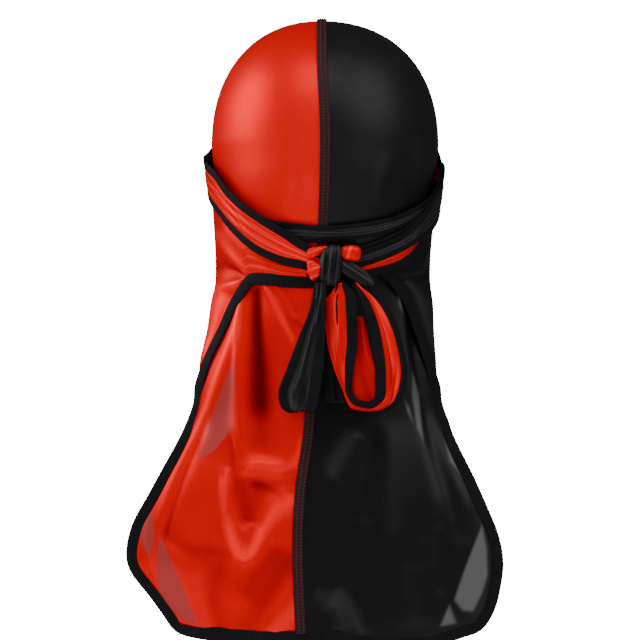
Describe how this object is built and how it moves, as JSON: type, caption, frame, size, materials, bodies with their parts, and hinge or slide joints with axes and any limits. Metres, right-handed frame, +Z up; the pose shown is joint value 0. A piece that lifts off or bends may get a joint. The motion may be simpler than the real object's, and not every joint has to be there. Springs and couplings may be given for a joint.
{
  "type": "durag",
  "caption": "Two-colour satin durag as worn, with a close crown, straps wrapped round the head and tied at the back in a bow, and a long flared tail.",
  "frame": {"origin": "inner top of the crown, where it sits on a head", "axes": "+Z up, the forehead faces -Y, the tail hangs on the +Y side and the red half lies at +X"},
  "size_m": [0.2498, 0.2071, 0.4274],
  "materials": {
    "red_satin": "glossy stretch satin",
    "black_satin": "glossy stretch satin",
    "black_binding": "fine ribbed knit tape"
  },
  "bodies": {
    "root": {"left_panel": "red_satin", "right_panel": "black_satin", "center_seam": "black_binding", "front_binding": "black_binding", "left_drape": "red_satin", "right_drape": "black_satin", "tail_binding": "black_binding", "left_strap": "red_satin", "left_strap_upper_binding": "black_binding", "left_strap_lower_binding": "black_binding", "right_strap": "black_satin", "right_strap_upper_binding": "black_binding", "right_strap_lower_binding": "black_binding", "knot_wrap": "black_satin", "knot_red_left": "red_satin", "knot_red_right": "red_satin", "knot_black_right": "black_satin", "bow_loop_right": "red_satin", "bow_loop_right_near_binding": "black_binding", "bow_loop_right_far_binding": "black_binding", "bow_loop_left": "black_satin", "bow_loop_left_near_binding": "black_binding", "bow_loop_left_far_binding": "black_binding", "right_strap_end": "black_satin", "right_strap_end_left_binding": "black_binding", "right_strap_end_right_binding": "black_binding"}
  },
  "joints": []
}
